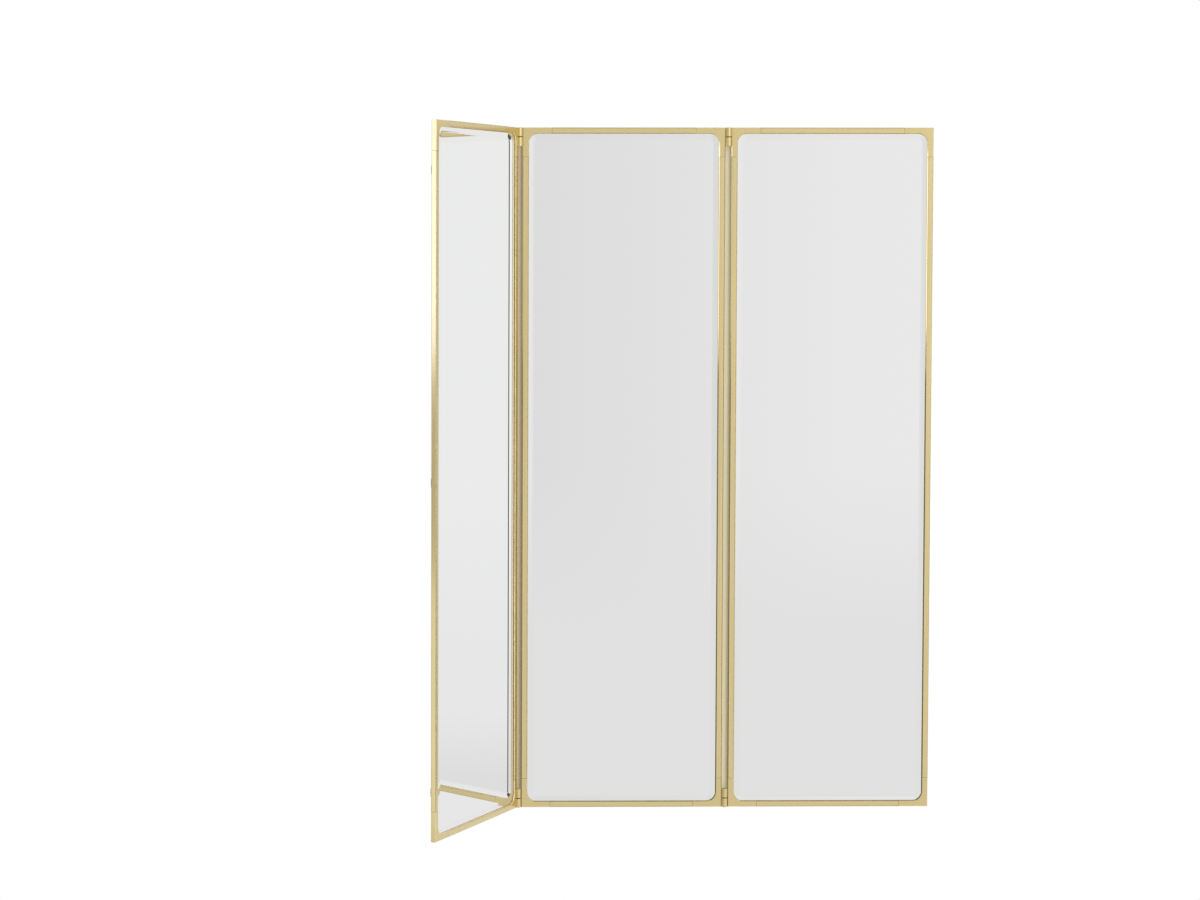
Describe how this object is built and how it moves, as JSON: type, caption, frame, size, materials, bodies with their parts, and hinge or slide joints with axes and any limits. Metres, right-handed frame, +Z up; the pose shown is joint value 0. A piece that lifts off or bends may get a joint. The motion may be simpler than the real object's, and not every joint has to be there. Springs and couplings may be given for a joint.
{
  "type": "wall mirror",
  "caption": "Tri-fold wall mirror of bevelled glass panels in slim brass frames with cast corners, the side panels hinged to swing forward.",
  "frame": {"origin": "centre of the wall screws, on the wall plane, behind the middle panel", "axes": "+Z up, +Y into the wall, so the mirrors face -Y; +X to the right as seen from the front"},
  "size_m": [1.1328, 0.4286, 1.52],
  "materials": {
    "brass": "satin brushed brass bar",
    "cast_brass": "satin polished cast brass",
    "mirror_glass": "bevelled silvered glass",
    "hardboard": "matt hardboard",
    "zinc": "zinc-plated strip",
    "steel": "plain steel",
    "nylon": "black nylon",
    "rubber": "matt black rubber"
  },
  "bodies": {
    "middle_panel": {"middle_top_rail": "brass", "middle_bottom_rail": "brass", "middle_left_stile": "brass", "middle_right_stile": "brass", "middle_corner_top_left": "cast_brass", "middle_corner_top_right": "cast_brass", "middle_corner_bottom_left": "cast_brass", "middle_corner_bottom_right": "cast_brass", "middle_mirror_glass": "mirror_glass", "middle_backing_board": "hardboard", "middle_offset_clips": "zinc", "middle_clip_screws": "steel", "middle_set_screws": "steel", "left_hinge_pin_top": "steel", "left_hinge_pin_bottom": "steel", "right_hinge_pin_top": "steel", "right_hinge_pin_bottom": "steel", "hinge_washers": "nylon", "wall_cleat": "zinc", "mirror_cleat": "zinc", "mirror_cleat_screws": "steel", "wall_bumpers": "rubber"},
    "left_wing": {"left_wing_top_rail": "brass", "left_wing_bottom_rail": "brass", "left_wing_outer_stile": "brass", "left_wing_hinge_stile": "brass", "left_wing_corner_top_outer": "cast_brass", "left_wing_corner_top_hinge": "cast_brass", "left_wing_corner_bottom_outer": "cast_brass", "left_wing_corner_bottom_hinge": "cast_brass", "left_wing_mirror_glass": "mirror_glass", "left_wing_backing_board": "hardboard", "left_wing_offset_clips": "zinc", "left_wing_clip_screws": "steel", "left_wing_set_screws": "steel"},
    "right_wing": {"right_wing_top_rail": "brass", "right_wing_bottom_rail": "brass", "right_wing_outer_stile": "brass", "right_wing_hinge_stile": "brass", "right_wing_corner_top_outer": "cast_brass", "right_wing_corner_top_hinge": "cast_brass", "right_wing_corner_bottom_outer": "cast_brass", "right_wing_corner_bottom_hinge": "cast_brass", "right_wing_mirror_glass": "mirror_glass", "right_wing_backing_board": "hardboard", "right_wing_offset_clips": "zinc", "right_wing_clip_screws": "steel", "right_wing_set_screws": "steel"}
  },
  "joints": [
    {"name": "left_wing_hinge", "type": "hinge", "parent": "middle_panel", "child": "left_wing", "pos_m": [-0.232, -0.0184, 0], "axis": [0, 0, 1], "range_deg": [-64, 56]},
    {"name": "right_wing_hinge", "type": "hinge", "parent": "middle_panel", "child": "right_wing", "pos_m": [0.232, -0.0184, 0], "axis": [0, 0, -1], "range_deg": [0, 120]}
  ]
}
